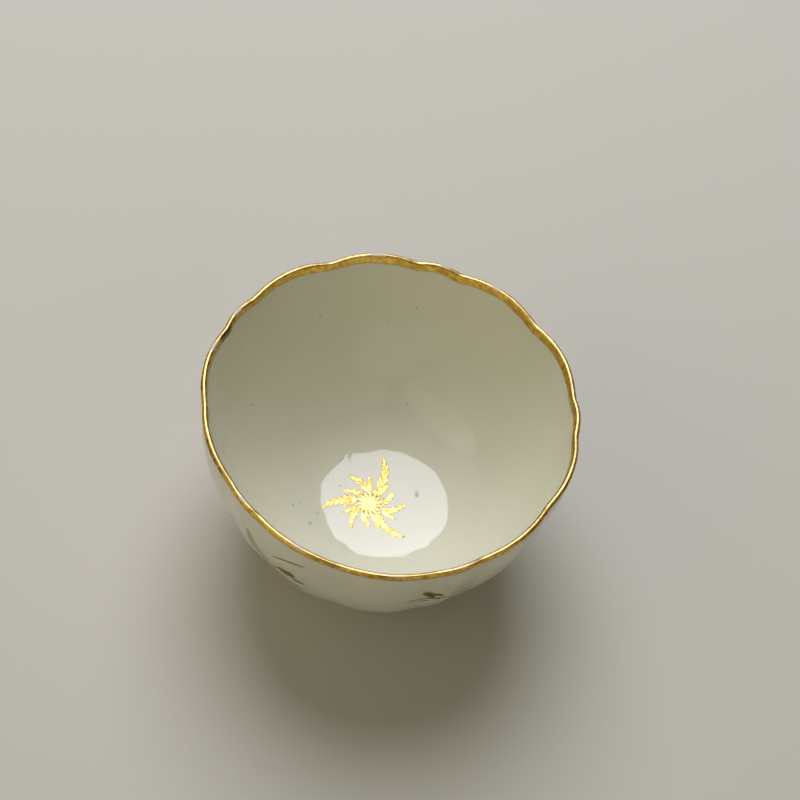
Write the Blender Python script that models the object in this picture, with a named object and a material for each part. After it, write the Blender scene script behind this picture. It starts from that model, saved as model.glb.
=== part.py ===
"""A fluted porcelain tea bowl with a scalloped rim and a low foot ring.

Metres, +Z up. The bowl stands upright on z = 0, its axis is the Z axis, and the
origin is the centre of the foot ring's underside.
"""
import math

import bmesh
import bpy
from mathutils import Vector

# The rim, at the middle of the lip and in the notches between its lobes
RIM_RADIUS = 0.0410
RIM_HEIGHT = 0.0470
LIP_THICKNESS = 0.0013

# The foot ring, which is slightly wedge shaped in section
FOOT_RADIUS = 0.0196
FOOT_HEIGHT = 0.0045
FOOT_TREAD_OUTSIDE = 0.0188
FOOT_TREAD_INSIDE = 0.0177
FOOT_EDGE_ROUND = 0.0006
RECESS_RADIUS = 0.0165
RECESS_HEIGHT = 0.0036
RECESS_DOME = 0.0002

# The inside, from the lip down to the middle of the bottom
INSIDE_DEPTH = 0.03945

# Fullness of the two curves from rim to foot: 2 and 2 would be an ellipse
OUTSIDE_DROP_POWER = 1.60
OUTSIDE_SPREAD_POWER = 1.71
INSIDE_DROP_POWER = 1.5
INSIDE_SPREAD_POWER = 3.3

# Five narrow ribs, and two broad lobes between each rib and the next
SECTORS = 5
SECTOR_ANGLE = math.tau / SECTORS
FIRST_RIB_ANGLE = math.radians(14.62)
RIB_HALF_ANGLE = math.radians(7.0)
LOBE_HALF_ANGLE = (SECTOR_ANGLE / 2 - RIB_HALF_ANGLE) / 2
RIB_BULGE = 0.00041
LOBE_BULGE = 0.00068
RIB_RISE = 0.00057
LOBE_RISE = 0.00098
NOTCH_SOFTNESS = 0.12

# Outside, the fluting swells below the lip and fades to nothing at the foot ring, and
# the ribs' rounded crests turn crisp. Inside, it dies away just below the lip.
FLUTE_SWELL = 0.5
FLUTE_SWELL_DEPTH = 0.0064
FLUTE_LEFT_AT_FOOT = 0.45
FLUTE_FADE_POWER = 8
RIB_CRISP_DEPTH = 0.0030
INSIDE_FLUTE_DEPTH = 0.0075

# The slight warp that the rim took in the kiln: waves, amplitude, direction of a crest
OUTWARD_WARP = (
    (2, 0.00022, math.radians(60.1)),
    (3, 0.00051, math.radians(45.2)),
)
UPWARD_WARP = (
    (2, 0.00048, math.radians(-50.9)),
    (3, 0.00021, math.radians(-27.1)),
)

# Mesh steps
STEPS_PER_RIB = 4
STEPS_PER_LOBE = 8
OUTSIDE_STEPS = 16
LIP_STEPS = 4
INSIDE_STEPS = 14

PORCELAIN_COLOUR = (0.62, 0.61, 0.48, 1.0)
PORCELAIN_ROUGHNESS = 0.12


def clear_scene():
    """Remove the objects that are already there."""
    for thing in list(bpy.data.objects):
        bpy.data.objects.remove(thing, do_unlink=True)


def flute_angles():
    """The directions of the mesh's columns, closer together on the narrow ribs."""
    rib_step = 2 * RIB_HALF_ANGLE / STEPS_PER_RIB
    lobe_step = 2 * LOBE_HALF_ANGLE / STEPS_PER_LOBE
    angles = []
    for sector in range(SECTORS):
        angle = FIRST_RIB_ANGLE - RIB_HALF_ANGLE + sector * SECTOR_ANGLE
        for step in [rib_step] * STEPS_PER_RIB + [lobe_step] * (2 * STEPS_PER_LOBE):
            angles.append(angle)
            angle += step
    return angles


def rounded(crest):
    """Lift a wave that runs through 0 at its notches, and soften the notches."""
    return math.sqrt(crest ** 2 + NOTCH_SOFTNESS ** 2) - NOTCH_SOFTNESS


def flute(angle, rib, lobe, crispness=0.0):
    """Height of the fluting at an angle, from the ribs' and the lobes' amplitudes."""
    from_rib = (angle - FIRST_RIB_ANGLE) % SECTOR_ANGLE
    from_rib = min(from_rib, SECTOR_ANGLE - from_rib)
    if from_rib < RIB_HALF_ANGLE:
        soft = rounded(math.cos(math.pi / 2 * from_rib / RIB_HALF_ANGLE))
        crisp = 1 - from_rib / RIB_HALF_ANGLE
        return rib * (soft + (crisp - soft) * crispness)
    from_lobe = from_rib - RIB_HALF_ANGLE - LOBE_HALF_ANGLE
    return lobe * rounded(math.cos(math.pi / 2 * from_lobe / LOBE_HALF_ANGLE))


def warp(angle, waves):
    """The rim's warp at an angle."""
    return sum(size * math.cos(count * (angle - crest)) for count, size, crest in waves)


def foot_section():
    """The underside and the foot ring, from the centre outwards."""
    inner_edge = FOOT_TREAD_INSIDE - FOOT_EDGE_ROUND
    outer_edge = FOOT_TREAD_OUTSIDE + FOOT_EDGE_ROUND / 2
    return [
        (RECESS_RADIUS / 2, RECESS_HEIGHT + RECESS_DOME * 0.75, 0.0),
        (RECESS_RADIUS - FOOT_EDGE_ROUND, RECESS_HEIGHT, 0.0),
        (RECESS_RADIUS, RECESS_HEIGHT - FOOT_EDGE_ROUND, 0.0),
        (inner_edge, FOOT_EDGE_ROUND, 0.0),
        (FOOT_TREAD_INSIDE, 0.0, 0.0),
        (FOOT_TREAD_OUTSIDE, 0.0, 0.0),
        (outer_edge, FOOT_EDGE_ROUND, 0.0),
        ((outer_edge + FOOT_RADIUS) / 2, FOOT_HEIGHT / 2, 0.0),
    ]


def outside_section():
    """The fluted outer wall, from the foot ring up to the lip."""
    reach = RIM_RADIUS + LIP_THICKNESS / 2 - FOOT_RADIUS
    fall = RIM_HEIGHT - FOOT_HEIGHT
    points = []
    for step in range(OUTSIDE_STEPS + 1):
        drop = math.cos(math.pi / 2 * step / OUTSIDE_STEPS)
        spread = (1 - drop ** OUTSIDE_DROP_POWER) ** (1 / OUTSIDE_SPREAD_POWER)
        share = 1 + FLUTE_SWELL * min(1.0, fall * drop / FLUTE_SWELL_DEPTH)
        share *= 1 - (1 - FLUTE_LEFT_AT_FOOT) * drop
        share *= 1 - drop ** FLUTE_FADE_POWER
        points.append((FOOT_RADIUS + reach * spread, RIM_HEIGHT - fall * drop, share))
    return points


def lip_section():
    """The rounded top of the wall, without its two ends."""
    points = []
    for step in range(1, LIP_STEPS):
        turn = math.pi * step / LIP_STEPS
        across = LIP_THICKNESS / 2 * math.cos(turn)
        above = LIP_THICKNESS / 2 * math.sin(turn)
        points.append((RIM_RADIUS + across, RIM_HEIGHT + above, 1.0))
    return points


def inside_section():
    """The smooth inner wall, from the lip down to just before the centre."""
    points = []
    for step in range(INSIDE_STEPS):
        drop = math.sin(math.pi / 2 * step / INSIDE_STEPS)
        spread = (1 - drop ** INSIDE_DROP_POWER) ** (1 / INSIDE_SPREAD_POWER)
        radius = (RIM_RADIUS - LIP_THICKNESS / 2) * spread
        share = math.exp(-drop * INSIDE_DEPTH / INSIDE_FLUTE_DEPTH)
        points.append((radius, RIM_HEIGHT - INSIDE_DEPTH * drop, share))
    return points


def clamped(value):
    """The value, kept between 0 and 1."""
    return max(0.0, min(1.0, value))


def surface_point(section_point, angle):
    """Place a point of the section at an angle round the axis, fluted and warped."""
    radius, height, share = section_point
    climb = clamped((height - FOOT_HEIGHT) / (RIM_HEIGHT - FOOT_HEIGHT))
    crispness = clamped((RIM_HEIGHT - height) / RIB_CRISP_DEPTH)
    radius += share * flute(angle, RIB_BULGE, LOBE_BULGE, crispness)
    radius += climb * warp(angle, OUTWARD_WARP)
    height += climb ** 2 * flute(angle, RIB_RISE, LOBE_RISE)
    height += climb ** 2 * warp(angle, UPWARD_WARP)
    return Vector((radius * math.cos(angle), radius * math.sin(angle), height))


def bowl_mesh():
    """One closed skin: underside, foot ring, outer wall, lip and inner wall."""
    section = foot_section() + outside_section() + lip_section() + inside_section()
    angles = flute_angles()
    columns = len(angles)
    shape = bmesh.new()
    under_centre = shape.verts.new((0.0, 0.0, RECESS_HEIGHT + RECESS_DOME))
    inside_centre = shape.verts.new((0.0, 0.0, RIM_HEIGHT - INSIDE_DEPTH))
    rings = [[shape.verts.new(surface_point(point, angle)) for angle in angles] for point in section]
    for column in range(columns):
        after = (column + 1) % columns
        shape.faces.new((under_centre, rings[0][after], rings[0][column]))
        for low, high in zip(rings, rings[1:]):
            shape.faces.new((low[column], low[after], high[after], high[column]))
        shape.faces.new((inside_centre, rings[-1][column], rings[-1][after]))
    mesh = bpy.data.meshes.new("tea_bowl")
    shape.to_mesh(mesh)
    shape.free()
    mesh.shade_smooth()
    mesh.set_sharp_from_angle(angle=math.radians(50))
    return mesh


def porcelain():
    """Glazed soft porcelain, greyish cream and glossy."""
    material = bpy.data.materials.new("glazed porcelain")
    material.use_nodes = True
    surface = material.node_tree.nodes["Principled BSDF"]
    surface.inputs["Base Color"].default_value = PORCELAIN_COLOUR
    surface.inputs["Roughness"].default_value = PORCELAIN_ROUGHNESS
    surface.inputs["Metallic"].default_value = 0.0
    return material


clear_scene()
bowl = bpy.data.objects.new("tea_bowl", bowl_mesh())
bpy.context.scene.collection.objects.link(bowl)
bowl.data.materials.append(porcelain())
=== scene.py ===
import math

import bpy
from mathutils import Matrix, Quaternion, Vector, noise


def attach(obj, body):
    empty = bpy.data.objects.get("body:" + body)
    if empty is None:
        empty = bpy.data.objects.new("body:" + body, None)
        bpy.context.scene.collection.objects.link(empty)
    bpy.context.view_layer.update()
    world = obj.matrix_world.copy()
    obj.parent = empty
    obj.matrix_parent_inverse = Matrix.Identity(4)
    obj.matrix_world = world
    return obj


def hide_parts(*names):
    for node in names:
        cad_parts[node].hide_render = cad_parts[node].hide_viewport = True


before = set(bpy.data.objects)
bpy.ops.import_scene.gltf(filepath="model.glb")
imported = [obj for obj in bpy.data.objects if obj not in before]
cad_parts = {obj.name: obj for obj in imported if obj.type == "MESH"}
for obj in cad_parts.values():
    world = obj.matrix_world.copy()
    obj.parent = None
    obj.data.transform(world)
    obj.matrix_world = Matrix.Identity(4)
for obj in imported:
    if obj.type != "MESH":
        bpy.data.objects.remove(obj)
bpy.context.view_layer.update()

# The porcelain body
# A small drinking bowl of soft-paste porcelain, pressed in a fluted mould, turned to a
# foot ring and dipped in a clear lead glaze. Five narrow ribs and ten broad lobes run
# from the scalloped lip to the foot outside. Inside, the wall is smooth.

RIM_RADIUS = 0.0410
RIM_HEIGHT = 0.0470
LIP_THICKNESS = 0.0013
FOOT_RADIUS = 0.0196
FOOT_HEIGHT = 0.0045
FOOT_TREAD_OUTSIDE = 0.0188
FOOT_TREAD_INSIDE = 0.0177
FOOT_EDGE_ROUND = 0.0006
RECESS_RADIUS = 0.0165
RECESS_HEIGHT = 0.0036
RECESS_DOME = 0.0002
INSIDE_DEPTH = 0.03945
OUTSIDE_DROP_POWER = 1.60
OUTSIDE_SPREAD_POWER = 1.71
INSIDE_DROP_POWER = 1.5
INSIDE_SPREAD_POWER = 3.3

SECTORS = 5
SECTOR_ANGLE = math.tau / SECTORS
FIRST_RIB_ANGLE = math.radians(14.62)
RIB_HALF_ANGLE = math.radians(7.0)
LOBE_HALF_ANGLE = (SECTOR_ANGLE / 2 - RIB_HALF_ANGLE) / 2
RIB_BULGE = 0.00041
LOBE_BULGE = 0.00068
RIB_RISE = 0.00057
LOBE_RISE = 0.00098
NOTCH_SOFTNESS = 0.12
FLUTE_SWELL = 0.5
FLUTE_SWELL_DEPTH = 0.0064
FLUTE_LEFT_AT_FOOT = 0.45
FLUTE_FADE_POWER = 8
RIB_CRISP_DEPTH = 0.0030
INSIDE_FLUTE_DEPTH = 0.0075
OUTWARD_WARP = ((2, 0.00022, math.radians(60.1)), (3, 0.00051, math.radians(45.2)))
UPWARD_WARP = ((2, 0.00048, math.radians(-50.9)), (3, 0.00021, math.radians(-27.1)))

# Waviness that pressing and dipping by hand leave: long waves, and short ones in the glaze
BOWL_MIDDLE = Vector((0, 0, 0.038))
WAVE_LENGTH = 0.009
WAVE_HEIGHT = 0.00010
GLAZE_WAVE_LENGTH = 0.0035
GLAZE_WAVE_HEIGHT = 0.000045

STEPS_PER_RIB = 28
STEPS_PER_LOBE = 50
RECESS_STEPS = 8
CORNER_STEPS = 5
OUTSIDE_STEPS = 56
LIP_STEPS = 14
INSIDE_WALL_STEPS = 27
INSIDE_BOTTOM_STEPS = 25
INSIDE_BOTTOM_RADIUS = 0.025


def clamped(value):
    """The value, kept between 0 and 1."""
    return max(0.0, min(1.0, value))


def rounded(crest):
    """Lift a wave that runs through 0 at its notches, and soften the notches."""
    return math.sqrt(crest ** 2 + NOTCH_SOFTNESS ** 2) - NOTCH_SOFTNESS


def flute(angle, rib, lobe, crispness=0.0):
    """Height of the fluting at an angle, from the ribs' and the lobes' amplitudes."""
    from_rib = (angle - FIRST_RIB_ANGLE) % SECTOR_ANGLE
    from_rib = min(from_rib, SECTOR_ANGLE - from_rib)
    if from_rib < RIB_HALF_ANGLE:
        soft = rounded(math.cos(math.pi / 2 * from_rib / RIB_HALF_ANGLE))
        crisp = 1 - from_rib / RIB_HALF_ANGLE
        return rib * (soft + (crisp - soft) * crispness)
    from_lobe = from_rib - RIB_HALF_ANGLE - LOBE_HALF_ANGLE
    return lobe * rounded(math.cos(math.pi / 2 * from_lobe / LOBE_HALF_ANGLE))


def warp(angle, waves):
    """The small warp that the rim took in the kiln, at an angle."""
    return sum(size * math.cos(count * (angle - crest)) for count, size, crest in waves)


def fluted_point(radius, height, share, angle):
    """A point of the plain section, turned to an angle, fluted, warped and made uneven."""
    climb = clamped((height - FOOT_HEIGHT) / (RIM_HEIGHT - FOOT_HEIGHT))
    crispness = clamped((RIM_HEIGHT - height) / RIB_CRISP_DEPTH)
    radius += share * flute(angle, RIB_BULGE, LOBE_BULGE, crispness)
    radius += climb * warp(angle, OUTWARD_WARP)
    height += climb ** 2 * flute(angle, RIB_RISE, LOBE_RISE)
    height += climb ** 2 * warp(angle, UPWARD_WARP)
    point = Vector((radius * math.cos(angle), radius * math.sin(angle), height))
    wave = WAVE_HEIGHT * noise.noise(point / WAVE_LENGTH)
    wave += GLAZE_WAVE_HEIGHT * noise.noise(point / GLAZE_WAVE_LENGTH)
    above_foot = clamped((height - FOOT_HEIGHT) / FOOT_HEIGHT)
    return point + (point - BOWL_MIDDLE).normalized() * (wave * above_foot)


def outside_point(drop, angle):
    """On the outer wall: drop is 0 beside the lip and 1 at the foot ring."""
    fall = RIM_HEIGHT - FOOT_HEIGHT
    reach = RIM_RADIUS + LIP_THICKNESS / 2 - FOOT_RADIUS
    spread = (1 - drop ** OUTSIDE_DROP_POWER) ** (1 / OUTSIDE_SPREAD_POWER)
    share = 1 + FLUTE_SWELL * min(1.0, fall * drop / FLUTE_SWELL_DEPTH)
    share *= 1 - (1 - FLUTE_LEFT_AT_FOOT) * drop
    share *= 1 - drop ** FLUTE_FADE_POWER
    return fluted_point(FOOT_RADIUS + reach * spread, RIM_HEIGHT - fall * drop, share, angle)


def lip_point(turn, angle):
    """On the rounded lip: turn runs from 0 outside to pi inside."""
    across = LIP_THICKNESS / 2 * math.cos(turn)
    above = LIP_THICKNESS / 2 * math.sin(turn)
    return fluted_point(RIM_RADIUS + across, RIM_HEIGHT + above, 1.0, angle)


def inside_drop(radius):
    """How far down the inner wall a radius is reached: 0 beside the lip, 1 at the centre."""
    spread = radius / (RIM_RADIUS - LIP_THICKNESS / 2)
    return (1 - spread ** INSIDE_SPREAD_POWER) ** (1 / INSIDE_DROP_POWER)


def inside_point(drop, angle):
    """On the inner wall: drop is 0 beside the lip and 1 at the centre of the bottom."""
    spread = (1 - drop ** INSIDE_DROP_POWER) ** (1 / INSIDE_SPREAD_POWER)
    radius = (RIM_RADIUS - LIP_THICKNESS / 2) * spread
    share = math.exp(-drop * INSIDE_DEPTH / INSIDE_FLUTE_DEPTH)
    return fluted_point(radius, RIM_HEIGHT - INSIDE_DEPTH * drop, share, angle)


def body_angles():
    """Directions of the mesh's columns, which fall on every crest and notch."""
    rib_step = 2 * RIB_HALF_ANGLE / STEPS_PER_RIB
    lobe_step = 2 * LOBE_HALF_ANGLE / STEPS_PER_LOBE
    angles = []
    for sector in range(SECTORS):
        angle = FIRST_RIB_ANGLE - RIB_HALF_ANGLE + sector * SECTOR_ANGLE
        for step in [rib_step] * STEPS_PER_RIB + [lobe_step] * (2 * STEPS_PER_LOBE):
            angles.append(angle)
            angle += step
    return angles


def foot_points():
    """Radius and height along the underside and the foot ring, from the centre outwards."""
    flat_radius = RECESS_RADIUS - FOOT_EDGE_ROUND
    points = []
    for step in range(1, RECESS_STEPS):
        share = step / RECESS_STEPS
        points.append((flat_radius * share, RECESS_HEIGHT + RECESS_DOME * (1 - share ** 2)))
    corners = (
        # centre's radius and height, size across, start and end of the turn in degrees
        (flat_radius, RECESS_HEIGHT - FOOT_EDGE_ROUND, FOOT_EDGE_ROUND, 90, 0),
        (FOOT_TREAD_INSIDE, FOOT_EDGE_ROUND, FOOT_EDGE_ROUND, 180, 270),
        (FOOT_TREAD_OUTSIDE, FOOT_EDGE_ROUND, FOOT_EDGE_ROUND / 2, 270, 360),
        (FOOT_RADIUS + FOOT_EDGE_ROUND, FOOT_HEIGHT - FOOT_EDGE_ROUND, FOOT_EDGE_ROUND, 180, 115),
    )
    for centre_radius, centre_height, across, start, end in corners:
        for step in range(CORNER_STEPS):
            turn = math.radians(start + (end - start) * step / (CORNER_STEPS - 1))
            radius = centre_radius + across * math.cos(turn)
            points.append((radius, centre_height + FOOT_EDGE_ROUND * math.sin(turn)))
    return points


def body_rows(angles):
    """Rows of points from the middle of the underside, over the lip, to the inside's middle."""
    rows = [[fluted_point(*spot, 0.0, angle) for angle in angles] for spot in foot_points()]
    for step in range(1, OUTSIDE_STEPS + 1):
        drop = math.cos(math.pi / 2 * step / OUTSIDE_STEPS)
        rows.append([outside_point(max(drop, 0.0), angle) for angle in angles])
    for step in range(1, LIP_STEPS):
        rows.append([lip_point(math.pi * step / LIP_STEPS, angle) for angle in angles])
    for step in range(INSIDE_WALL_STEPS):
        drop = inside_drop(INSIDE_BOTTOM_RADIUS) * step / INSIDE_WALL_STEPS
        rows.append([inside_point(drop, angle) for angle in angles])
    for step in range(INSIDE_BOTTOM_STEPS):
        drop = inside_drop(INSIDE_BOTTOM_RADIUS * (1 - step / INSIDE_BOTTOM_STEPS))
        rows.append([inside_point(drop, angle) for angle in angles])
    return rows


def joined_rows(rows):
    """Points and faces of rows that each run all the way round."""
    columns = len(rows[0])
    points = [point for row in rows for point in row]
    faces = []
    for low in range(0, len(points) - columns, columns):
        high = low + columns
        for column in range(columns):
            after = (column + 1) % columns
            faces.append((low + column, low + after, high + after, high + column))
    return points, faces


def new_piece(name, points, faces):
    """A smooth-shaded mesh object in the row frame."""
    mesh = bpy.data.meshes.new(name)
    mesh.from_pydata(points, [], faces)
    mesh.shade_smooth()
    piece = bpy.data.objects.new(name, mesh)
    bpy.context.scene.collection.objects.link(piece)
    return piece


body_points, body_faces = joined_rows(body_rows(body_angles()))
columns = SECTORS * (STEPS_PER_RIB + 2 * STEPS_PER_LOBE)
last_row = len(body_points) - columns
under_centre = len(body_points)
inside_centre = under_centre + 1
body_points.append(Vector((0, 0, RECESS_HEIGHT + RECESS_DOME)))
body_points.append(inside_point(1.0, 0.0))
for column in range(columns):
    after = (column + 1) % columns
    body_faces.append((under_centre, after, column))
    body_faces.append((inside_centre, last_row + column, last_row + after))
body = new_piece("porcelain_body", body_points, body_faces)


def linear(colour):
    """An sRGB hex colour as the linear colour that a shader takes."""
    channels = [int(colour[place:place + 2], 16) / 255 for place in (1, 3, 5)]
    return (*[c / 12.92 if c <= 0.04045 else ((c + 0.055) / 1.055) ** 2.4 for c in channels], 1.0)


def add_node(tree, kind, settings, inputs):
    """Add a node, set its properties, and set or link its input sockets."""
    node = tree.nodes.new(kind)
    for name, value in settings.items():
        setattr(node, name, value)
    for key, value in inputs.items():
        if isinstance(value, bpy.types.NodeSocket):
            tree.links.new(value, node.inputs[key])
        else:
            node.inputs[key].default_value = value
    return node


def new_material(name):
    """An empty node material, and its tree."""
    material = bpy.data.materials.new(name)
    material.use_nodes = True
    material.node_tree.nodes.clear()
    return material, material.node_tree


# Glazed soft-paste porcelain: a greyish, faintly green cream under a glossy, slightly
# uneven glaze with a few iron specks. The ring it stands on is wiped bare, so it is matt.
GLAZE_IOR = 1.50
GLAZE_ROUGHNESS = 0.06
BARE_ROUGHNESS = 0.65
POOLING_WIDTH = 0.01818
PINHEAD_SPACING = 0.003846
DIMPLE_WIDTH = 0.0025
MARK_CORE = 0.4
MARK_REACH = 1.3

glazed_porcelain, tree = new_material("glazed soft-paste porcelain")
here = add_node(tree, "ShaderNodeTexCoord", {}, {}).outputs["Object"]
pooling = add_node(tree, "ShaderNodeTexNoise", {}, {
    "Vector": here, "Scale": 1 / POOLING_WIDTH, "Detail": 2.0,
})
glaze_tint = add_node(tree, "ShaderNodeMix", {"data_type": "RGBA"}, {
    0: pooling.outputs["Fac"], 6: linear("#D3D1BA"), 7: linear("#DCD9C4"),
})
colour = glaze_tint.outputs[2]

# Specks of iron and, last, a dark spot of painted shade for a small pit in the glaze: place and
# radius in mm, how dark
specks_and_pit_shade = (
    ((-31.6, 8.9, 22.2), 0.30, 0.60),
    ((-0.5, 37.8, 34.7), 0.36, 0.35),
    ((-17.0, -6.6, 9.5), 0.42, 0.35),
    ((-15.5, -5.3, 8.9), 0.26, 0.25),
    ((-12.1, -9.7, 8.7), 0.46, 0.42),
    ((-11.0, -6.3, 8.4), 0.60, 0.22),
    ((37.2, -1.1, 33.1), 0.30, 0.35),
    ((36.6, -8.8, 34.9), 0.28, 0.30),
    ((-21.5, 30.2, 32.5), 0.45, 0.32),
    ((-23.7, -8.5, 13.4), 0.38, 0.25),
    ((-6.1, 35.6, 29.9), 0.32, 0.20),
    ((-7.6, 2.7, 7.7), 0.36, 0.45),
    ((2.8, 25.5, 13.7), 0.40, 0.30),
    ((36.9, -7.6, 33.4), 0.50, 0.40),
    # The last three make the painted shade of the pit, which has no dent in the mesh
    ((10.25, 5.0, 7.95), 0.50, 0.70),
    ((10.10, 5.5, 7.95), 0.50, 0.50),
    ((10.00, 6.0, 8.00), 0.46, 0.40),
)
for place, radius, darkness in specks_and_pit_shade:
    away = add_node(tree, "ShaderNodeVectorMath", {"operation": "DISTANCE"}, {
        0: here, 1: Vector(place) / 1000,
    })
    dark_mark = add_node(tree, "ShaderNodeMapRange", {"interpolation_type": "SMOOTHSTEP"}, {
        "Value": away.outputs["Value"],
        "From Min": radius * MARK_CORE / 1000, "From Max": radius * MARK_REACH / 1000,
        "To Min": darkness, "To Max": 0.0,
    })
    colour = add_node(tree, "ShaderNodeMix", {"data_type": "RGBA"}, {
        0: dark_mark.outputs["Result"], 6: colour, 7: linear("#6C6E50"),
    }).outputs[2]

# Fine pinhead specks, up to 0.2 mm in radius, about one in ten square centimetres
pinheads = add_node(tree, "ShaderNodeTexVoronoi", {}, {
    "Vector": here, "Scale": 1 / PINHEAD_SPACING,
})
pinhead_size = add_node(tree, "ShaderNodeMapRange", {}, {
    "Value": pinheads.outputs["Distance"], "From Min": 0.02, "From Max": 0.06,
    "To Min": 0.5, "To Max": 0.0,
})
pinhead_pick = add_node(tree, "ShaderNodeSeparateColor", {}, {"Color": pinheads.outputs["Color"]})
pinhead_rare = add_node(tree, "ShaderNodeMath", {"operation": "GREATER_THAN"}, {
    0: pinhead_pick.outputs["Red"], 1: 0.90,
})
pinhead_share = add_node(tree, "ShaderNodeMath", {"operation": "MULTIPLY"}, {
    0: pinhead_size.outputs["Result"], 1: pinhead_rare.outputs["Value"],
})
colour = add_node(tree, "ShaderNodeMix", {"data_type": "RGBA"}, {
    0: pinhead_share.outputs["Value"], 6: colour, 7: linear("#7A7455"),
}).outputs[2]

# The wiped tread of the foot ring
height_here = add_node(tree, "ShaderNodeSeparateXYZ", {}, {"Vector": here})
tread = add_node(tree, "ShaderNodeMapRange", {}, {
    "Value": height_here.outputs["Z"], "From Min": 0.00022, "From Max": 0.00034,
    "To Min": 1.0, "To Max": 0.0,
})
colour = add_node(tree, "ShaderNodeMix", {"data_type": "RGBA"}, {
    0: tread.outputs["Result"], 6: colour, 7: linear("#C9BFA8"),
}).outputs[2]
gloss_change = add_node(tree, "ShaderNodeMapRange", {}, {
    "Value": tread.outputs["Result"], "To Min": GLAZE_ROUGHNESS, "To Max": BARE_ROUGHNESS,
})

# The glaze's orange peel
orange_peel = add_node(tree, "ShaderNodeTexNoise", {}, {
    "Vector": here, "Scale": 1 / DIMPLE_WIDTH, "Detail": 1.0,
})
ripple = add_node(tree, "ShaderNodeBump", {}, {
    "Height": orange_peel.outputs["Fac"], "Strength": 0.10, "Distance": 0.00006,
})

# A run in the glaze beside the flower: a low ridge about 3 mm long, places in mm
GLAZE_RUN_RADIUS = 0.0010
GLAZE_RUN_HEIGHT = 0.000025
glaze_run = ((-7.8, 11.4, 8.5), (-7.6, 10.6, 8.4), (-7.4, 9.8, 8.3), (-7.2, 9.0, 8.2))
ridge = 0.0
for place in glaze_run:
    away = add_node(tree, "ShaderNodeVectorMath", {"operation": "DISTANCE"}, {
        0: here, 1: Vector(place) / 1000,
    })
    bulge = add_node(tree, "ShaderNodeMapRange", {"interpolation_type": "SMOOTHSTEP"}, {
        "Value": away.outputs["Value"], "From Min": 0.0, "From Max": GLAZE_RUN_RADIUS,
        "To Min": 1.0, "To Max": 0.0,
    })
    ridge = add_node(tree, "ShaderNodeMath", {"operation": "MAXIMUM"}, {
        0: ridge, 1: bulge.outputs["Result"],
    }).outputs["Value"]
glaze_relief = add_node(tree, "ShaderNodeBump", {}, {
    "Height": ridge, "Strength": 1.0, "Distance": GLAZE_RUN_HEIGHT,
    "Normal": ripple.outputs["Normal"],
})
surface = add_node(tree, "ShaderNodeBsdfPrincipled", {}, {
    "Base Color": colour,
    "Roughness": gloss_change.outputs["Result"],
    "IOR": GLAZE_IOR,
    "Normal": glaze_relief.outputs["Normal"],
})
add_node(tree, "ShaderNodeOutputMaterial", {}, {"Surface": surface.outputs["BSDF"]})
body.data.materials.append(glazed_porcelain)

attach(body, "root")
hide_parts("tea_bowl")

# The gilt rim
# Gold ground with honey, brushed over the glazed lip in one stroke, fired and burnished.
# It reaches a little way down both sides, and use has rubbed it off along the lip's top.

GILDING_THICKNESS = 0.00004
BAND_INSIDE = 0.0014
BAND_OUTSIDE = 0.00045
BAND_COLUMNS = 1440
BAND_STEPS = 16
BAND_THIN_EDGE = 0.00045
TOP_WEAR = 0.47
TOP_WEAR_WIDTH = 0.55 * LIP_THICKNESS
WEAR_FULLNESS = 1.3
BRUSH_WAVES = ((24, 1.0), (150, 0.6), (500, 0.4))
OUTSIDE_UNEVENNESS = 0.40
INSIDE_UNEVENNESS = 0.20
OUTSIDE_SEED = 1
INSIDE_SEED = 5

# The brown spots outside reach this far round the lip, as shares of its half turn
DULL_END = 0.38
DULL_FADE = 0.15

# Spots that are worn further, and spots where the gold is brown
worn_spots = (
    # direction from the axis and half width along the rim in degrees, and how far worn
    (67.7, 4.5, 0.85),
    (85.5, 4.0, 0.85),
    (107.0, 5.0, 1.0),
    (158.7, 4.0, 1.0),
    (173.9, 4.5, 1.0),
    (193.0, 3.0, 0.6),
    (230.3, 3.5, 0.8),
    (253.0, 6.0, 0.75),
    (283.0, 5.0, 0.65),
    (302.4, 3.5, 0.65),
)
dull_inside = ((167.0, 4.0),)
dull_outside = ((188.0, 2.6), (209.0, 2.0), (212.5, 1.8), (215.2, 1.4), (218.6, 1.7))


def worn_at(angle):
    """How far use has rubbed the gold off the top of the lip at an angle, 0 to 1."""
    worst = 0.0
    for direction, half_width, depth in worn_spots:
        away = abs((angle - math.radians(direction) + math.pi) % math.tau - math.pi)
        worst = max(worst, depth * clamped(WEAR_FULLNESS * (1 - away / math.radians(half_width))))
    return worst


def dull_at(angle, spots):
    """How far the gold is thin and brown at an angle, 0 to 1."""
    dullest = 0.0
    for direction, half_width in spots:
        away = abs((angle - math.radians(direction) + math.pi) % math.tau - math.pi)
        dullest = max(dullest, clamped(2 * (1 - away / math.radians(half_width))))
    return dullest


def wavering(angle, waves, seed):
    """Smooth noise round the rim, about -0.5 to 0.5, with so many waves round it."""
    spot = Vector((math.cos(angle), math.sin(angle), 0)) * waves / math.tau
    return noise.noise(spot + Vector((0, 0, seed)))


def brushed_reach(reach, unevenness, seed, angle):
    """How far the gold goes down a side of the lip at an angle, with the brush's wobble."""
    wobble = 0.0
    for order, (waves, share) in enumerate(BRUSH_WAVES):
        wobble += share * wavering(angle, waves, seed + order)
    return reach * (1 + unevenness * wobble)


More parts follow.
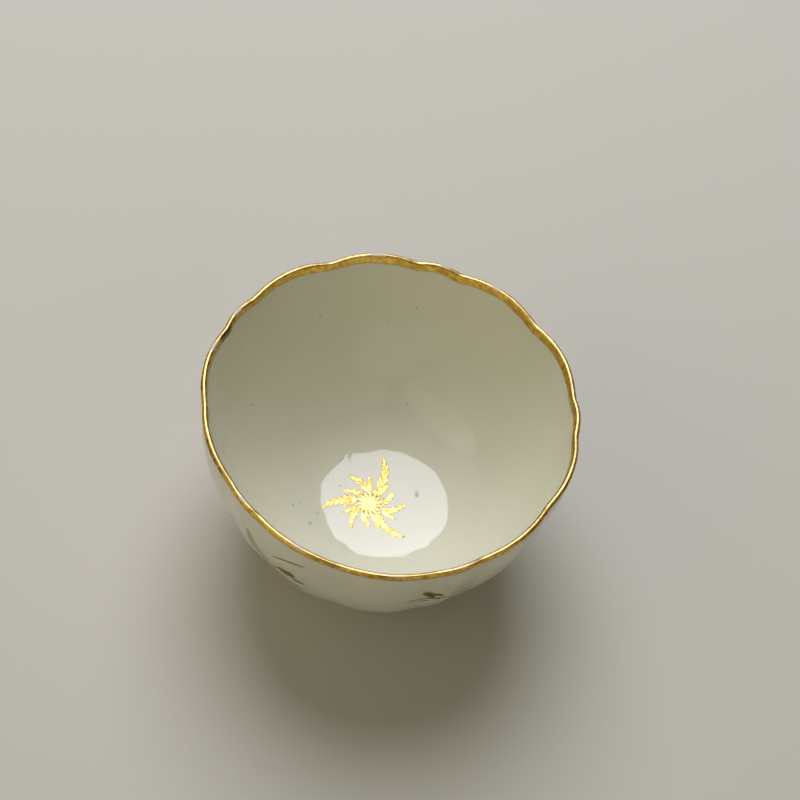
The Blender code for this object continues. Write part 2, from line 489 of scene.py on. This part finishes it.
band_rows = []
band_wear = []
band_thin = []
band_dull = []
for step in range(BAND_STEPS + 1):
    row = []
    for column in range(BAND_COLUMNS):
        angle = FIRST_RIB_ANGLE + math.tau * column / BAND_COLUMNS
        outer = brushed_reach(BAND_OUTSIDE, OUTSIDE_UNEVENNESS, OUTSIDE_SEED, angle)
        inner = brushed_reach(BAND_INSIDE, INSIDE_UNEVENNESS, INSIDE_SEED, angle)
        lip = LIP_THICKNESS / 2 * math.pi
        arc = step / BAND_STEPS * (outer + lip + inner)
        if arc < outer:
            point = outside_point((outer - arc) / (RIM_HEIGHT - FOOT_HEIGHT), angle)
        elif arc < outer + lip:
            point = lip_point((arc - outer) / lip * math.pi, angle)
        else:
            point = inside_point((arc - outer - lip) / INSIDE_DEPTH, angle)
        row.append(point)
        from_top = abs(arc - outer - lip / 2)
        rubbed = max(worn_at(angle), TOP_WEAR)
        band_wear.append(rubbed * clamped(WEAR_FULLNESS - from_top / TOP_WEAR_WIDTH))
        from_edge = min(arc, outer + lip + inner - arc)
        band_thin.append(clamped(1 - from_edge / BAND_THIN_EDGE))
        if arc < outer + lip / 2:
            before_end = clamped((outer + lip * DULL_END - arc) / (lip * DULL_FADE))
            band_dull.append(dull_at(angle, dull_outside) * before_end)
        else:
            band_dull.append(dull_at(angle, dull_inside))
    band_rows.append(row)
rim_band = new_piece("gilt_rim", *joined_rows(band_rows))


def add_share(piece, name, values):
    """Store a number for each point of a piece, for its material to read."""
    layer = piece.data.attributes.new(name, "FLOAT", "POINT")
    layer.data.foreach_set("value", values)


add_share(rim_band, "wear", band_wear)
add_share(rim_band, "thin", band_thin)
add_share(rim_band, "dull", band_dull)
film = rim_band.modifiers.new("film", "SOLIDIFY")
film.thickness = GILDING_THICKNESS
film.offset = 0.0

# Burnished honey gold: a warm metal with fine brush marks, browner where it is thin, and
# rubbed through along the lip's top, where the glaze shows pinkish beige. The gold's real
# grain is far too fine to show, so it is drawn about half a millimetre wide.
GOLD_GRAIN = 0.0004545
BRUSH_MARK_WIDTH = 0.001111

burnished_gold, tree = new_material("burnished honey gold")
here = add_node(tree, "ShaderNodeTexCoord", {}, {}).outputs["Object"]
wear = add_node(tree, "ShaderNodeAttribute", {"attribute_name": "wear"}, {})
thin = add_node(tree, "ShaderNodeAttribute", {"attribute_name": "thin"}, {})
dull = add_node(tree, "ShaderNodeAttribute", {"attribute_name": "dull"}, {})
grain = add_node(tree, "ShaderNodeTexNoise", {}, {
    "Vector": here, "Scale": 1 / GOLD_GRAIN, "Detail": 3.0,
})
tone = add_node(tree, "ShaderNodeTexNoise", {}, {
    "Vector": here, "Scale": 1 / BRUSH_MARK_WIDTH, "Detail": 4.0,
})
tone_share = add_node(tree, "ShaderNodeMapRange", {}, {
    "Value": tone.outputs["Fac"], "From Min": 0.35, "From Max": 0.65, "To Min": 0.0, "To Max": 1.0,
})
gold_tone = add_node(tree, "ShaderNodeMix", {"data_type": "RGBA"}, {
    0: tone_share.outputs["Result"], 6: linear("#C69632"), 7: linear("#ECC766"),
})
brown_share = add_node(tree, "ShaderNodeMath", {"operation": "MULTIPLY_ADD"}, {
    0: thin.outputs["Fac"], 1: 0.3, 2: dull.outputs["Fac"],
})
brown_grain = add_node(tree, "ShaderNodeMath", {"operation": "MULTIPLY"}, {
    0: grain.outputs["Fac"], 1: 1.7,
})
brown_patches = add_node(tree, "ShaderNodeMath", {"operation": "MULTIPLY", "use_clamp": True}, {
    0: brown_share.outputs["Value"], 1: brown_grain.outputs["Value"],
})
thin_gold = add_node(tree, "ShaderNodeMix", {"data_type": "RGBA"}, {
    0: brown_patches.outputs["Value"], 6: gold_tone.outputs[2], 7: linear("#6A4A14"),
})
edge_loss = add_node(tree, "ShaderNodeMath", {"operation": "MULTIPLY_ADD"}, {
    0: thin.outputs["Fac"], 1: 0.75, 2: wear.outputs["Fac"],
})
rubbing = add_node(tree, "ShaderNodeMath", {"operation": "MULTIPLY_ADD"}, {
    0: grain.outputs["Fac"], 1: 0.9, 2: edge_loss.outputs["Value"],
})
bare = add_node(tree, "ShaderNodeMapRange", {}, {
    "Value": rubbing.outputs["Value"], "From Min": 0.80, "From Max": 1.25,
    "To Min": 0.0, "To Max": 1.0,
})
gold_or_bare = add_node(tree, "ShaderNodeMix", {"data_type": "RGBA"}, {
    0: bare.outputs["Result"], 6: thin_gold.outputs[2], 7: linear("#CFC1AC"),
})
metal_share = add_node(tree, "ShaderNodeMapRange", {}, {
    "Value": bare.outputs["Result"], "To Min": 1.0, "To Max": 0.0,
})
brush_marks = add_node(tree, "ShaderNodeBump", {}, {
    "Height": tone.outputs["Fac"], "Strength": 0.3, "Distance": 0.00003,
})
surface = add_node(tree, "ShaderNodeBsdfPrincipled", {}, {
    "Base Color": gold_or_bare.outputs[2],
    "Metallic": metal_share.outputs["Result"],
    "Roughness": 0.33,
    "Normal": brush_marks.outputs["Normal"],
})
add_node(tree, "ShaderNodeOutputMaterial", {}, {"Surface": surface.outputs["BSDF"]})
rim_band.data.materials.append(burnished_gold)

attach(rim_band, "root")

# The gilt flower inside
# A flower head painted in the same gold on the middle of the bottom, in small dabs of a
# loaded brush: a boss, a ring of petals, and leaves that whirl round it in three thirds.

STROKE_STEPS = 10
STROKE_SIDE_STEPS = 3
STROKE_CROWN = 0.00004
STROKE_UNDERSIDE = 0.00001
END_SHARPNESS = 0.5
PROBE = 0.00005

# Shares of a leaf: its wash, where its pairs of dabs start and how far they run, its tip
WASH_WIDTH = 0.6
WASH_CROWN = 0.6
FIRST_PAIR = 0.03
PAIRS_RUN = 0.72
TIP_START = 0.64
DAB_WOBBLES_PER_METRE = 900


def along(points, share):
    """A place on the smooth curve through some points: share is 0 at the first, 1 at the last."""
    spans = len(points) - 1
    span = min(int(share * spans), spans - 1)
    t = share * spans - span
    before = points[max(span - 1, 0)]
    start = points[span]
    end = points[span + 1]
    beyond = points[min(span + 2, spans)]
    curve = 2 * start + (end - before) * t
    curve += (2 * before - 5 * start + 4 * end - beyond) * t ** 2
    curve += (3 * start - before - 3 * end + beyond) * t ** 3
    return curve / 2


def lifted(surface, spot, height):
    """A point so high above a place on a surface that is given by two coordinates."""
    point = surface(spot.x, spot.y)
    sideways = surface(spot.x + PROBE, spot.y) - point
    upwards = surface(spot.x, spot.y + PROBE) - point
    return point + sideways.cross(upwards).normalized() * height


def painted(name, surface, strokes, material):
    """One piece of gilding from brush strokes: path, half width, sharpness of the ends, crown."""
    points = []
    faces = []
    thinness = []
    ring = 4 * STROKE_SIDE_STEPS
    for path, half_width, sharpness, crown in strokes:
        first = len(points)
        for step in range(1, STROKE_STEPS):
            share = step / STROKE_STEPS
            spot = along(path, share)
            ahead = (along(path, share + 0.01) - along(path, share - 0.01)).normalized()
            aside = Vector((-ahead.y, ahead.x))
            fullness = (4 * share * (1 - share)) ** sharpness
            for corner in range(ring):
                turn = math.tau * corner / ring
                across = math.cos(turn)
                place = spot + aside * (half_width * fullness * across)
                thick = crown * math.sqrt(fullness) if turn < math.pi else STROKE_UNDERSIDE
                points.append(lifted(surface, place, thick * math.sin(turn)))
                thinness.append(max(abs(across) ** 4, 1 - crown / STROKE_CROWN))
        last = first + ring * (STROKE_STEPS - 2)
        for low in range(first, last, ring):
            high = low + ring
            for corner in range(ring):
                after = (corner + 1) % ring
                faces.append((low + corner, low + after, high + after, high + corner))
        start = len(points)
        points.append(lifted(surface, path[0], 0.0))
        points.append(lifted(surface, path[-1], 0.0))
        thinness += [1.0, 1.0]
        for corner in range(ring):
            after = (corner + 1) % ring
            faces.append((start, first + after, first + corner))
            faces.append((start + 1, last + corner, last + after))
    piece = new_piece(name, points, faces)
    add_share(piece, "thin", thinness)
    piece.data.materials.append(material)
    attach(piece, "root")
    return piece


def leaf(path, pairs, half_width, dab_width, fade=0.0):
    """A serrated leaf: a thin wash, pairs of dabs that splay from its middle, and a tip.

    fade says how far the gold thins from its foot to its tip, as the brush runs dry.
    """
    strokes = [(path, half_width * WASH_WIDTH, END_SHARPNESS, STROKE_CROWN * WASH_CROWN)]
    for pair in range(pairs):
        share = FIRST_PAIR + PAIRS_RUN * pair / pairs
        for side in (-1, 1):
            foot = along(path, share)
            wobble = noise.noise(Vector((foot.x, foot.y, side / 1000)) * DAB_WOBBLES_PER_METRE)
            end = along(path, share + (1 + 0.3 * wobble) / pairs)
            ahead = (end - foot).normalized()
            aside = Vector((-ahead.y, ahead.x)) * side
            reach = half_width * (1 + 0.5 * wobble) * (1 - share) ** 0.6
            middle = (foot + end) / 2 + aside * (reach * 0.6)
            dab = dab_width * (1 - 0.45 * share)
            crown = STROKE_CROWN * (1 - fade * share)
            strokes.append(([foot, middle, end + aside * reach], dab, END_SHARPNESS, crown))
    tip = [along(path, TIP_START), along(path, (TIP_START + 1) / 2), path[-1]]
    strokes.append((tip, dab_width * (1 - 0.4 * fade), END_SHARPNESS, STROKE_CROWN * (1 - fade)))
    return strokes


def polar_path(turn, places):
    """Points from radii in mm and directions in degrees, turned together."""
    path = []
    for radius, direction in places:
        angle = math.radians(turn + direction)
        path.append(Vector((math.cos(angle), math.sin(angle))) * radius / 1000)
    return path


def bottom_surface(x, y):
    """The inside of the bowl, over a place on its plan."""
    return inside_point(inside_drop(max(math.hypot(x, y), 1e-7)), math.atan2(y, x))


def round_dab(radius, crown):
    """One round dab in the middle of the bottom."""
    across = polar_path(0, ((radius, 180), (0.001, 0), (radius, 0)))
    return across, radius / 1000, END_SHARPNESS, crown


PETALS = 15
PETAL_ANGLE = 360 / PETALS
HEAD_RADIUS = 2.7
BOSS_RADIUS = 2.1
BOSS_DABS = 8
BOSS_CROWN = 0.00007
BOSS_DAB_CROWN = 0.00010

flower_strokes = [round_dab(HEAD_RADIUS, STROKE_CROWN * 0.4)]
for petal in range(PETALS):
    turn = petal * PETAL_ANGLE
    reach = 3.3 + 0.5 * wavering(math.radians(turn), 20, 7)
    path = polar_path(turn, ((1.5, -5), (2.4, 0), (reach, 6)))
    flower_strokes.append((path, 0.00036, 0.45, STROKE_CROWN))
for dot in range(PETALS):
    path = polar_path((dot + 0.5) * PETAL_ANGLE, ((2.9, -4), (3.3, 0), (3.8, 4)))
    flower_strokes.append((path, 0.00024, END_SHARPNESS, STROKE_CROWN))

thirds = (
    # direction of the long spray's tip in degrees, its reach in mm, the leaves' reach,
    # and how far the spray's gold thins towards its tip
    (89, 13.1, 1.04, 0.0),
    (204, 11.4, 0.96, 0.35),
    (326, 12.0, 1.0, 0.7),
)
for turn, reach, leaf_reach, fade in thirds:
    spray = ((2.9, -21), (5.0, -17.5), (reach * 0.62, -13), (reach * 0.82, -7), (reach, 0))
    flower_strokes += leaf(polar_path(turn, spray), 5, 0.00115, 0.00044, fade)
    wing = ((3.0, -22), (4.8 * leaf_reach, -26), (6.8 * leaf_reach, -26.5))
    flower_strokes += leaf(polar_path(turn, wing), 3, 0.00072, 0.00042)
    bud = ((3.2, 10), (5.2 * leaf_reach, 13), (7.1 * leaf_reach, 12.5))
    flower_strokes += leaf(polar_path(turn, bud), 2, 0.00038, 0.00036)
    hooked = ((3.4, 20), (5.1 * leaf_reach, 27), (6.5 * leaf_reach, 37), (8.5 * leaf_reach, 47))
    flower_strokes += leaf(polar_path(turn, hooked), 4, 0.00082, 0.00044)
    small = ((3.3, 52), (4.9 * leaf_reach, 65), (6.6 * leaf_reach, 77))
    flower_strokes += leaf(polar_path(turn, small), 3, 0.00066, 0.00040)
boss_strokes = [round_dab(BOSS_RADIUS, BOSS_CROWN)]
for dab in range(BOSS_DABS):
    path = polar_path(dab * 360 / BOSS_DABS, ((0.6, -10), (1.2, 0), (1.9, 8)))
    boss_strokes.append((path, 0.00042, END_SHARPNESS, BOSS_DAB_CROWN))

# Painted honey gold, left unburnished: the same metal, but matt, and brown at the thin
# edges of each dab and in small specks where it has worn. The specks are drawn coarser
# than the real ones, so that they show.
PAINTED_GRAIN = 0.0003846
PAINTED_TONE_WIDTH = 0.0009091

painted_gold, tree = new_material("painted honey gold")
here = add_node(tree, "ShaderNodeTexCoord", {}, {}).outputs["Object"]
thin = add_node(tree, "ShaderNodeAttribute", {"attribute_name": "thin"}, {})
grain = add_node(tree, "ShaderNodeTexNoise", {}, {
    "Vector": here, "Scale": 1 / PAINTED_GRAIN, "Detail": 2.0,
})
tone = add_node(tree, "ShaderNodeTexNoise", {}, {
    "Vector": here, "Scale": 1 / PAINTED_TONE_WIDTH, "Detail": 1.0,
})
tone_share = add_node(tree, "ShaderNodeMapRange", {}, {
    "Value": tone.outputs["Fac"], "From Min": 0.40, "From Max": 0.60, "To Min": 0.0, "To Max": 1.0,
})
full_gold = add_node(tree, "ShaderNodeMix", {"data_type": "RGBA"}, {
    0: tone_share.outputs["Result"], 6: linear("#DDBA5E"), 7: linear("#F4E298"),
})
specked = add_node(tree, "ShaderNodeMapRange", {}, {
    "Value": grain.outputs["Fac"], "From Min": 0.52, "From Max": 0.66, "To Min": 0.0, "To Max": 0.75,
})
thin_share = add_node(tree, "ShaderNodeMath", {"operation": "MULTIPLY"}, {
    0: thin.outputs["Fac"], 1: 0.9,
})
brown_share = add_node(tree, "ShaderNodeMath", {"operation": "MAXIMUM"}, {
    0: specked.outputs["Result"], 1: thin_share.outputs["Value"],
})
gold_tone = add_node(tree, "ShaderNodeMix", {"data_type": "RGBA"}, {
    0: brown_share.outputs["Value"], 6: full_gold.outputs[2], 7: linear("#8C6E3C"),
})
roughened = add_node(tree, "ShaderNodeBump", {}, {
    "Height": grain.outputs["Fac"], "Strength": 0.5, "Distance": 0.00006,
})
surface = add_node(tree, "ShaderNodeBsdfPrincipled", {}, {
    "Base Color": gold_tone.outputs[2],
    "Metallic": 1.0,
    "Roughness": 0.46,
    "Normal": roughened.outputs["Normal"],
})
add_node(tree, "ShaderNodeOutputMaterial", {}, {"Surface": surface.outputs["BSDF"]})
painted("gilt_flower", bottom_surface, flower_strokes, painted_gold)

# Thick honey gold on the boss, where the brush was fullest: the palest and smoothest gold
# of the flower, mottled in patches about 0.6 mm wide
THICK_GOLD_MOTTLE = 0.000625

thick_gold, tree = new_material("thick honey gold")
here = add_node(tree, "ShaderNodeTexCoord", {}, {}).outputs["Object"]
grain = add_node(tree, "ShaderNodeTexNoise", {}, {
    "Vector": here, "Scale": 1 / THICK_GOLD_MOTTLE, "Detail": 2.0,
})
gold_tone = add_node(tree, "ShaderNodeMix", {"data_type": "RGBA"}, {
    0: grain.outputs["Fac"], 6: linear("#DDBB62"), 7: linear("#F0DC94"),
})
surface = add_node(tree, "ShaderNodeBsdfPrincipled", {}, {
    "Base Color": gold_tone.outputs[2],
    "Metallic": 1.0,
    "Roughness": 0.40,
})
add_node(tree, "ShaderNodeOutputMaterial", {}, {"Surface": surface.outputs["BSDF"]})
painted("gilt_flower_boss", bottom_surface, boss_strokes, thick_gold)

# The gilt sprigs outside
# A spray and a small leafy sprig, painted in the same gold with a few quick strokes on
# each third of the wall. The photograph shows those on the viewer's side only.

SPRAY_PLACE = (math.radians(251.0), 0.0310)
SPRIG_PLACE = (math.radians(296.0), 0.0355)
REPEATS = 3


def wall_surface(place, turn):
    """The outer wall around a place: two coordinates, round the wall and up it."""
    def at(across, up):
        height = place[1] + up
        drop = (RIM_HEIGHT - height) / (RIM_HEIGHT - FOOT_HEIGHT)
        return outside_point(clamped(drop), place[0] + turn + across / RIM_RADIUS)
    return at


def wall_stroke(places, half_width, sharpness, load=1.0):
    """A stroke through places given in mm across and up, with a brush so fully loaded."""
    path = [Vector(place) / 1000 for place in places]
    return path, half_width / 1000, sharpness, STROKE_CROWN * load


# Thin honey gold on the outside, painted darker and olive brown: painted shade and painted dark
# reflection of the low wall. The glaze shows through where it is thinnest, so edges and dry
# strokes are paler and less metallic.
SPRIG_GOLD_MOTTLE = 0.0005556

shade_darkened_gold, tree = new_material("thin honey gold darkened with painted shade")
here = add_node(tree, "ShaderNodeTexCoord", {}, {}).outputs["Object"]
grain = add_node(tree, "ShaderNodeTexNoise", {}, {
    "Vector": here, "Scale": 1 / SPRIG_GOLD_MOTTLE, "Detail": 2.0,
})
# Both tones are dark as painted shade and painted dark reflection, not the gold's own colour
gold_tone = add_node(tree, "ShaderNodeMix", {"data_type": "RGBA"}, {
    0: grain.outputs["Fac"], 6: linear("#776812"), 7: linear("#A08A1C"),
})
thin = add_node(tree, "ShaderNodeAttribute", {"attribute_name": "thin"}, {})
# Paler where the gold is thin; on the wide stem this paleness is also a painted highlight
wash_and_highlight_gold = add_node(tree, "ShaderNodeMix", {"data_type": "RGBA"}, {
    0: thin.outputs["Fac"], 6: gold_tone.outputs[2], 7: linear("#C6BE86"),
})
metal_share = add_node(tree, "ShaderNodeMapRange", {}, {
    "Value": thin.outputs["Fac"], "To Min": 1.0, "To Max": 0.15,
})
surface = add_node(tree, "ShaderNodeBsdfPrincipled", {}, {
    "Base Color": wash_and_highlight_gold.outputs[2],
    "Metallic": metal_share.outputs["Result"],
    "Roughness": 0.35,
})
add_node(tree, "ShaderNodeOutputMaterial", {}, {"Surface": surface.outputs["BSDF"]})

# Places of a stroke, its half width, how pointed its ends are, and how full the brush was
spray_strokes = [
    # The wide dry stem: pale where the glaze shows through, and partly a painted highlight of gold
    # catching light at a grazing angle
    wall_stroke(((-12.2, 8.0), (-11.5, 2.5), (-9.0, -2.6), (-5.4, -4.6)), 1.50, 0.6, 0.25),
    wall_stroke(((-6.0, -4.2), (-2.8, -5.4), (3.6, -7.2)), 0.60, 0.35),
    wall_stroke(((-3.6, -0.9), (-1.2, 0.7), (1.4, 2.4)), 1.75, 0.7),
    wall_stroke(((-2.2, -1.2), (-0.6, -0.2), (1.8, 0.9)), 0.70, 0.7),
    wall_stroke(((-1.2, -0.2), (-0.6, 1.6), (0.6, 3.4)), 0.60, 0.7),
    wall_stroke(((0.6, -1.4), (2.1, -0.6), (3.9, 0.1)), 0.80, 0.7),
    wall_stroke(((-5.6, -4.3), (-4.9, -2.6), (-3.2, -0.6)), 0.25, 0.3),
    wall_stroke(((-4.9, 5.0), (-2.6, 7.3), (-0.1, 9.1), (2.2, 10.2), (4.3, 10.8)), 0.38, 0.6),
]
sprig_strokes = [
    wall_stroke(((-5.0, -2.6), (-3.2, -1.5), (-0.6, -1.7), (1.6, -2.6), (3.2, -4.8)), 0.48, 0.4),
    wall_stroke(((-2.4, 3.8), (-0.8, 1.5), (0.9, -1.6)), 1.05, 0.6),
    wall_stroke(((0.0, 1.4), (1.5, 0.2), (3.1, -1.5)), 0.75, 0.6),
    wall_stroke(((-0.4, 0.2), (0.6, -1.4), (1.2, -3.1)), 0.60, 0.6),
    wall_stroke(((1.6, -2.8), (2.8, -2.8), (4.4, -3.6)), 0.42, 0.7),
    wall_stroke(((-2.4, -3.2), (-1.0, -3.6), (0.6, -4.6)), 0.34, 0.7),
]
for third in range(REPEATS):
    turn = third * math.tau / REPEATS
    painted(f"gilt_spray_{third + 1}", wall_surface(SPRAY_PLACE, turn), spray_strokes, shade_darkened_gold)
    painted(f"gilt_sprig_{third + 1}", wall_surface(SPRIG_PLACE, turn), sprig_strokes, shade_darkened_gold)

# The studio
# A level sheet of pale paper under the foot ring, an oval softbox high behind the bowl,
# which the bowl's bottom mirrors, and weaker, wider lights from above and the other sides.

FLOOR_HALF_WIDTH = 3.0
corners = [(-1, -1), (1, -1), (1, 1), (-1, 1)]
floor_points = [Vector((x, y, 0)) * FLOOR_HALF_WIDTH for x, y in corners]
floor = new_piece("studio_floor", floor_points, [(0, 1, 2, 3)])
paper, tree = new_material("matt pale paper")
surface = add_node(tree, "ShaderNodeBsdfPrincipled", {}, {
    "Base Color": linear("#C6C2B6"), "Roughness": 0.9,
})
add_node(tree, "ShaderNodeOutputMaterial", {}, {"Surface": surface.outputs["BSDF"]})
floor.data.materials.append(paper)


def softbox(name, azimuth, elevation, distance, size, power, colour):
    """An oval light that faces the bowl. Azimuth 0 is the viewer's side, and 90 the right."""
    around = math.radians(azimuth)
    above = math.radians(elevation)
    level = Vector((math.sin(around), -math.cos(around), 0))
    away = level * math.cos(above) + Vector((0, 0, math.sin(above)))
    light = bpy.data.lights.new(name, "AREA")
    light.shape = "ELLIPSE"
    light.size, light.size_y = size
    light.energy = power
    light.color = linear(colour)[:3]
    lamp = bpy.data.objects.new(name, light)
    lamp.location = Vector((0, 0, RIM_HEIGHT / 2)) + away * distance
    lamp.rotation_mode = "QUATERNION"
    lamp.rotation_quaternion = away.to_track_quat("Z", "Y")
    bpy.context.scene.collection.objects.link(lamp)


softbox("softbox_behind", 199, 56.7, 1.0, (0.75, 0.93), 10.2, "#F2F4FF")
softbox("light_above", 0, 90, 2.0, (3.0, 3.0), 2.4, "#FBF9EC")
softbox("light_left", 270, 35, 2.0, (2.0, 2.0), 4.0, "#FFF8E1")
softbox("light_front_left", 320, 27, 2.0, (2.6, 2.0), 9.2, "#FDF6DA")
softbox("light_front_right", 45, 27, 2.0, (2.6, 2.0), 6.2, "#FDF6DA")

world = bpy.data.worlds.new("dim_studio")
bpy.context.scene.world = world
world.use_nodes = True
backdrop = world.node_tree.nodes["Background"]
backdrop.inputs["Color"].default_value = linear("#8A8A8E")
backdrop.inputs["Strength"].default_value = 0.10
bpy.context.scene.view_settings.view_transform = "Standard"

# The camera, as far off and as high above the rim's plane as in the photograph. It leans
# to one side, because the bowl does there.
SENSOR_WIDTH = 36.0
CAMERA_DISTANCE = 0.551
CAMERA_ELEVATION = math.radians(55.98)
CAMERA_ROLL = math.radians(14.17)
FRAME_PIXELS = 800
FOCAL_LENGTH_PIXELS = 2519.7
RIM_CENTRE_PIXEL = (392.81, 411.25)
camera = bpy.data.objects.new("camera", bpy.data.cameras.new("camera"))
back = Vector((0, -math.cos(CAMERA_ELEVATION), math.sin(CAMERA_ELEVATION)))
camera.location = Vector((0, 0, RIM_HEIGHT)) + back * CAMERA_DISTANCE
camera.rotation_mode = "QUATERNION"
camera.rotation_quaternion = back.to_track_quat("Z", "Y") @ Quaternion((0, 0, 1), CAMERA_ROLL)
camera.data.sensor_width = SENSOR_WIDTH
camera.data.lens = SENSOR_WIDTH * FOCAL_LENGTH_PIXELS / FRAME_PIXELS
camera.data.shift_x = 0.5 - RIM_CENTRE_PIXEL[0] / FRAME_PIXELS
camera.data.shift_y = RIM_CENTRE_PIXEL[1] / FRAME_PIXELS - 0.5
camera.data.clip_start = 0.01
bpy.context.scene.collection.objects.link(camera)
bpy.context.scene.camera = camera
